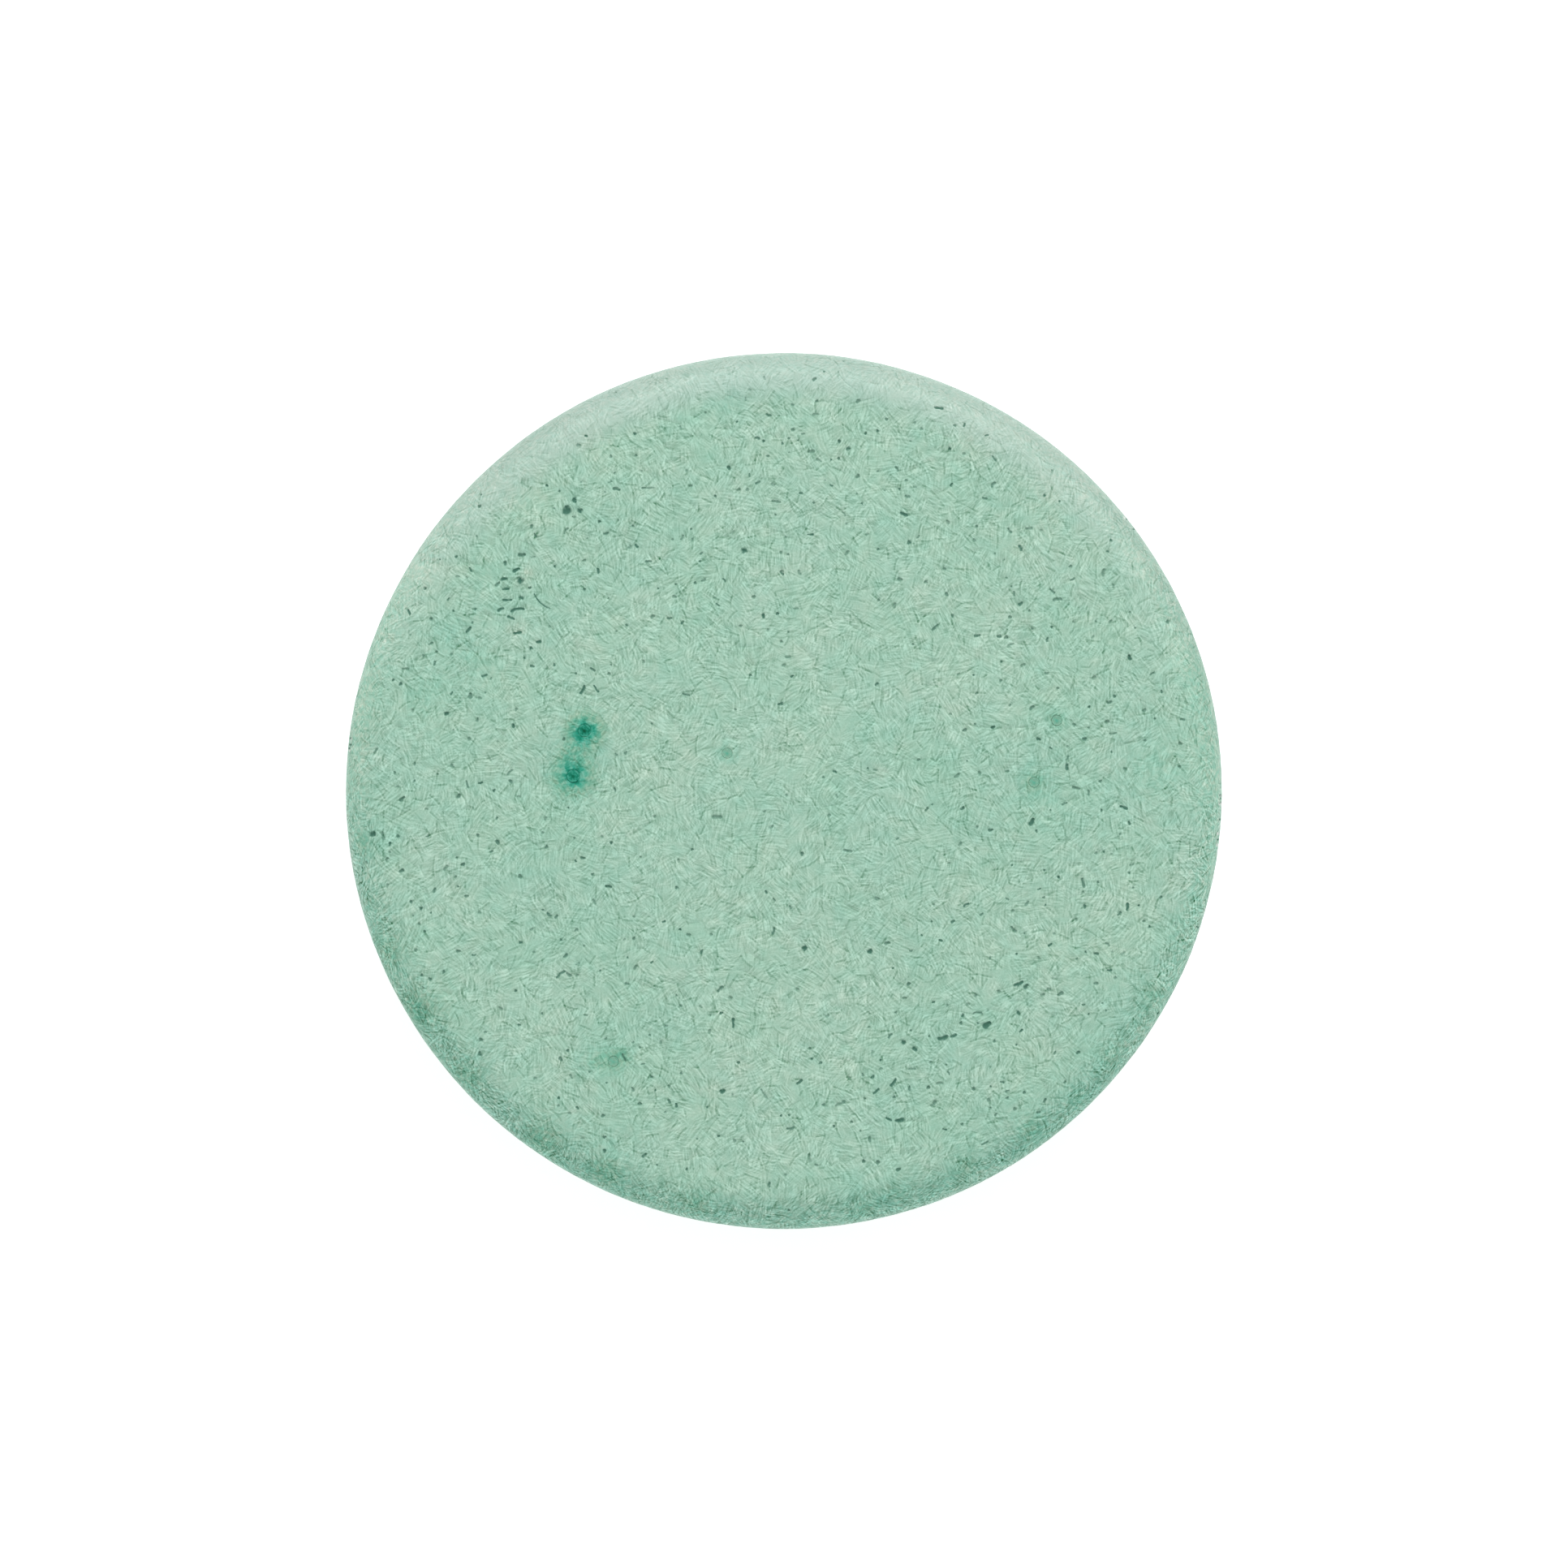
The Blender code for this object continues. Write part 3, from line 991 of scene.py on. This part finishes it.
def strokes(graph, chart, cell, length, width, seed, share, lines):
    """Separate bent strokes in a share of the cells, or a few side by side: 1 on a stroke, and a
    fainter negative line along one of its sides."""
    shifted = graph.vector("ADD", chart, (53.0 * seed, 17.0 * seed, 0.0))
    patch = graph.cells(shifted, cell)
    turn, size, rank = graph.split(patch["Color"])
    local = graph.vector("SUBTRACT", shifted, patch["Position"])
    along, level, _ = graph.split(graph.turned(local, graph.times(turn, math.tau)))
    bend = graph.times(graph.add(size, -0.5), STROKE_BEND / length)
    across = graph.add(level, graph.times(graph.times(along, along), bend))
    half_bundle = lines * BUNDLE_PITCH / 2
    near = graph.ramp(graph.maths("ABSOLUTE", across), half_bundle, half_bundle + STROKE_RIM, 1.0, 0.0)
    half_length = graph.times(graph.add(size, 0.5), length / 2)
    if lines > 1:
        row = graph.maths("ROUND", graph.maths("DIVIDE", across, BUNDLE_PITCH))
        across = graph.maths("WRAP", across, BUNDLE_PITCH / 2, -BUNDLE_PITCH / 2)
        # Each line of a bundle has a length of its own
        wave = graph.maths("SINE", graph.times(graph.add(row, turn), ROW_MIX))
        half_length = graph.times(half_length, graph.add(ROW_LENGTH, graph.times(wave, ROW_SPREAD)))
    past_end = graph.maths("SUBTRACT", graph.maths("ABSOLUTE", along), half_length)
    past_end = graph.maths("MAXIMUM", past_end, 0.0)

    def line(offset):
        beside = graph.add(across, offset)
        square = graph.add(graph.times(beside, beside), graph.times(past_end, past_end))
        return graph.ramp(graph.maths("SQRT", square), width * LINE_CORE, width * LINE_RIM, 1.0, 0.0)

    side_line = graph.times(line(SIDE_LINE), SIDE_LINE_STRENGTH)
    drawn = graph.times(graph.maths("SUBTRACT", line(0.0), side_line), near)
    chosen = graph.ramp(rank, 1 - share, 1.0, FAINTEST_STROKE, 1.0)
    shown = graph.maths("GREATER_THAN", rank, 1 - share)
    return graph.times(drawn, graph.times(chosen, shown))


def centred_noise(graph, place, size, detail, shift=(0.0, 0.0, 0.0)):
    """Noise about 0. Each use has a shift of its own, so that no two look alike."""
    return graph.add(graph.noise(graph.vector("ADD", place, shift), size, detail)["Fac"], -0.5)


class Regions:
    """Parts of the surface where the soap differs, each between 0 and 1, from a place in millimetres."""

    def __init__(self, graph, place):
        x, self.y, z = graph.split(place)
        from_axis = graph.maths("SQRT", graph.add(graph.times(x, x), graph.times(self.y, self.y)))
        upper_part = graph.ramp(z, *UPPER_PART)
        self.edge = graph.times(graph.ramp(from_axis, *EDGE_BAND), upper_part)
        wide_edge = graph.times(graph.ramp(from_axis, *WIDE_EDGE_BAND), upper_part)
        # Paler +Y edge: dry skin, with painted light on the side that faces the softbox
        self.dry = graph.times(wide_edge, graph.ramp(self.y, *DRY_AND_LIT_Y))
        leaning_y = graph.add(graph.times(x, DIM_LEAN), self.y)
        # Painted shade on the outermost +Y edge, which faces the softbox, leaning toward +X
        self.dim = graph.times(graph.ramp(from_axis, *DIM_BAND), graph.ramp(leaning_y, *DIM_Y))
        self.rough = graph.times(self.edge, graph.ramp(self.y, *ROUGH_Y))
        # Outermost ring and side: a painted pale rim, standing in for reflection, with dry skin
        self.side = graph.ramp(from_axis, *SIDE_BAND)


def dye_amount(graph, place, regions):
    """The dye in the soap: the cake's own, in clouds, less of it on the +Y edge, and the stains, with the
    painted light and shade of the +Y edge.
    """
    clouds = [
        graph.times(centred_noise(graph, place, size, detail, shift), strength)
        for size, detail, shift, strength in DYE_CLOUDS
    ]
    edge_dye = graph.add(EDGE_DYE, graph.times(regions.y, EDGE_DYE_SLOPE))
    ragged = graph.ramp(graph.noise(place, *RAGGED)["Fac"], *NOISE_SLOPE, *RAGGED_STAINS)
    speckle = centred_noise(graph, place, *SPECKLE)
    return graph.add(
        BASE_DYE,
        *clouds,
        graph.times(regions.edge, edge_dye),
        graph.times(graph.attribute("dye")["Fac"], ragged),
        graph.times(speckle, graph.times(regions.edge, EDGE_SPECKLE)),
    )


def murk(graph):
    """Where stains are weak, between 0 and 1: there the soap is a little murkier than its dye makes it."""
    stain = graph.attribute("dye")["Fac"]
    return graph.times(graph.ramp(stain, *MURK_RISE), graph.ramp(stain, *MURK_FALL, 1.0, LEAST_MURK))


def soap_colour(graph, place, regions):
    """The soap's colour without its fibres: dyed, a little pinker in places, paler and greyer on the +Y edge
    and on the side, as dry skin with painted light and a painted pale rim, and darker on the outermost +Y
    edge by painted shade.
    """
    dye = dye_amount(graph, place, regions)
    colour = graph.vector("MULTIPLY", transmission(graph, dye), UNDYED_SOAP)
    warmth = centred_noise(graph, place, *WARM_CLOUDS)
    colour = graph.tinted(colour, PINKNESS, warmth)
    colour = graph.tinted(colour, STAIN_MURK, murk(graph))
    # Painted light: the +Y edge, which faces the softbox, turns paler and greyer, along with dry skin
    colour = graph.blend(graph.times(regions.dry, DRY_AND_LIT_SHARE), colour, DRY_SKIN_AND_SHEEN)
    # Painted shade: the outermost +Y edge, where the softbox light falls, is darkened
    colour = graph.scaled(colour, graph.add(1.0, graph.times(regions.dim, LIT_EDGE_PAINTED_SHADE)))
    # Painted reflection: a pale grey rim on the outermost edge and the side, along with dry skin
    return graph.blend(graph.times(regions.side, SIDE_DRY_AND_SHEEN_SHARE), colour, DRY_SKIN_AND_SHEEN)


def soap_texture(graph):
    """Layers of the soap's texture: a felt of fibres, fine grain, and separate pale and dark strokes."""
    chart = graph.attribute("chart")["Vector"]
    wobble = graph.vector("SUBTRACT", graph.noise(chart, *WOBBLE, "2D")["Color"], (0.5, 0.5, 0.0))
    bent = graph.vector("ADD", chart, graph.scaled(wobble, FELT_WOBBLE))
    straighter = graph.vector("ADD", chart, graph.scaled(wobble, STROKE_WOBBLE))
    felt = graph.add(*(fibres(graph, bent, *layer) for layer in FELT_LAYERS))
    grain = graph.add(graph.noise(chart, *FINE_GRAIN, "2D")["Fac"], -0.5)
    pale = graph.add(*(strokes(graph, straighter, *kind) for kind in PALE_STROKES))
    dark = graph.add(*(strokes(graph, straighter, *kind) for kind in DARK_STROKES))
    faint = strokes(graph, straighter, *FAINT_DARK_STROKES)
    dark = graph.add(dark, graph.times(faint, FAINTNESS))
    return felt, grain, pale, dark


def soap_lightness(graph, place, regions, texture):
    """How much paler (above 0) or darker the soap is than its plain colour, with painted shade along the
    needle grooves.
    """
    felt, grain, pale, dark = texture
    small = centred_noise(graph, place, *SMALL_CLOUDS)
    large = centred_noise(graph, place, *LARGE_CLOUDS)
    everywhere = graph.add(
        graph.times(felt, FELT_LIGHT),
        graph.times(grain, GRAIN_LIGHT),
        graph.times(pale, PALE_LIGHT),
        graph.times(dark, DARK_LIGHT),
    )
    rough_grain = graph.times(grain, ROUGH_GRAIN_LIGHT)
    on_rough_edge = graph.add(felt, pale, rough_grain, graph.times(dark, ROUGH_DARK_LIGHT))
    # Painted light and dry skin: the texture is calmer on the paler +Y edge
    on_dry_and_lit = graph.ramp(regions.dry, 0.0, 1.0, 1.0, DRY_AND_LIT_CALM)
    in_stains = graph.ramp(graph.attribute("dye")["Fac"], *STRONG_STAINS, 1.0, STAIN_CALM)
    return graph.add(
        graph.times(small, SMALL_CLOUD_LIGHT),
        graph.times(large, LARGE_CLOUD_LIGHT),
        # Needle grooves darken along their bottoms: the crystals' own colour, and painted shade
        graph.times(graph.attribute("needle")["Fac"], NEEDLE_DARK_AND_SHADE),
        graph.times(everywhere, graph.times(on_dry_and_lit, in_stains)),
        graph.times(regions.rough, on_rough_edge),
    )


def soap_material():
    """Mint soap: clouded dye, a felt of fine crystals, pits darkened by painted shade, stains, and an edge
    that is tealer toward -Y and paler toward +Y, where it has dry skin, painted light and painted shade.
    """
    graph = Graph("mint_soap")
    place = graph.in_millimetres()
    regions = Regions(graph, place)
    texture = soap_texture(graph)
    lightness = soap_lightness(graph, place, regions, texture)
    colour = graph.tinted(soap_colour(graph, place, regions), FIBRE_CONTRAST, lightness)
    # Painted shade: pits and notches are darkened to a deep green inside
    colour = graph.blend(graph.attribute("pit")["Fac"], colour, PIT_PAINTED_SHADE)
    colour = graph.blend(graph.attribute("chip")["Fac"], colour, DRY_PALE)
    felt, grain, _, dark = texture
    relief = graph.add(
        graph.times(felt, FELT_RELIEF), graph.times(grain, GRAIN_RELIEF), graph.times(dark, DARK_RELIEF)
    )
    roughness = graph.add(SOAP_ROUGHNESS, graph.times(felt, FELT_ROUGHNESS))
    graph.finish(colour, roughness, relief, SOAP_RELIEF)
    return graph.material


def dye_material():
    """Crushed dye crystals under a thin skin of soap, clouded from light to dark."""
    graph = Graph("dye_crystals")
    place = graph.in_millimetres()
    crystal = graph.noise(place, *CRYSTALS)["Fac"]
    fine = graph.times(centred_noise(graph, place, *FINE_CRYSTALS), CRYSTAL_LIGHT)
    clouded = graph.ramp(crystal, *CRYSTAL_SLOPE, *CRYSTAL_DYE)
    dye = graph.times(graph.attribute("dye")["Fac"], clouded)
    colour = graph.vector("MULTIPLY", transmission(graph, graph.add(dye, BASE_DYE)), GRAIN_SOAP)
    colour = graph.tinted(graph.tinted(colour, STAIN_MURK, murk(graph)), FIBRE_CONTRAST, fine)
    roughness = graph.ramp(crystal, *SHINE_SLOPE, *CRYSTAL_ROUGHNESS)
    graph.finish(colour, roughness, crystal, CRYSTAL_RELIEF)
    return graph.material


def floor_material():
    """White paper that glows a little, so that the cake's soft shadow hardly shows."""
    graph = Graph("floor")
    graph.shader.inputs["Base Color"].default_value = FLOOR_WHITE
    graph.shader.inputs["Roughness"].default_value = FLOOR_ROUGHNESS
    graph.shader.inputs["Emission Color"].default_value = WHITE
    graph.shader.inputs["Emission Strength"].default_value = FLOOR_GLOW
    return graph.material


def add_camera():
    data = bpy.data.cameras.new("camera")
    data.lens = LENS
    data.sensor_width = SENSOR
    camera = bpy.data.objects.new("camera", data)
    bpy.context.scene.collection.objects.link(camera)
    distance = FRAME_WIDTH * LENS / SENSOR
    camera.location = (0.0, CAMERA_SHIFT_Y, PUCK_HEIGHT - EDGE_RADIUS + distance)
    bpy.context.scene.camera = camera


def add_stage():
    bpy.ops.mesh.primitive_plane_add(size=FLOOR_SIZE, location=(0, 0, -FLOOR_DROP))
    floor = bpy.context.object
    floor.name = "floor"
    floor.data.materials.append(floor_material())


def add_lights():
    world = bpy.data.worlds.new("studio")
    world.use_nodes = True
    background = world.node_tree.nodes["Background"]
    background.inputs["Color"].default_value = WHITE
    background.inputs["Strength"].default_value = WORLD_LIGHT
    bpy.context.scene.world = world
    data = bpy.data.lights.new("softbox", "AREA")
    data.shape = "SQUARE"
    data.size = SOFTBOX_SIZE
    data.energy = SOFTBOX_POWER
    lamp = bpy.data.objects.new("softbox", data)
    lamp.location = SOFTBOX_PLACE
    lamp.rotation_euler = (-lamp.location).to_track_quat("-Z", "Y").to_euler()
    bpy.context.scene.collection.objects.link(lamp)


def add_piece(name, mesh, material, node, place=(0, 0, 0)):
    """One piece of the visual model, which stands for a CAD node."""
    piece = bpy.data.objects.new(name, mesh)
    bpy.context.scene.collection.objects.link(piece)
    piece.location = place
    mesh.materials.append(material)
    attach(piece, "root")
    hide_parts(node)


def main():
    bpy.context.scene.view_settings.view_transform = "Standard"
    add_camera()
    add_lights()
    add_stage()
    add_piece("soap_cake", build_puck(), soap_material(), "soap_puck")
    dye = dye_material()
    for seed, node in enumerate(GRAINS):
        mesh, place = grain_mesh(node, seed)
        add_piece(node + "_lump", mesh, dye, node, place)


main()
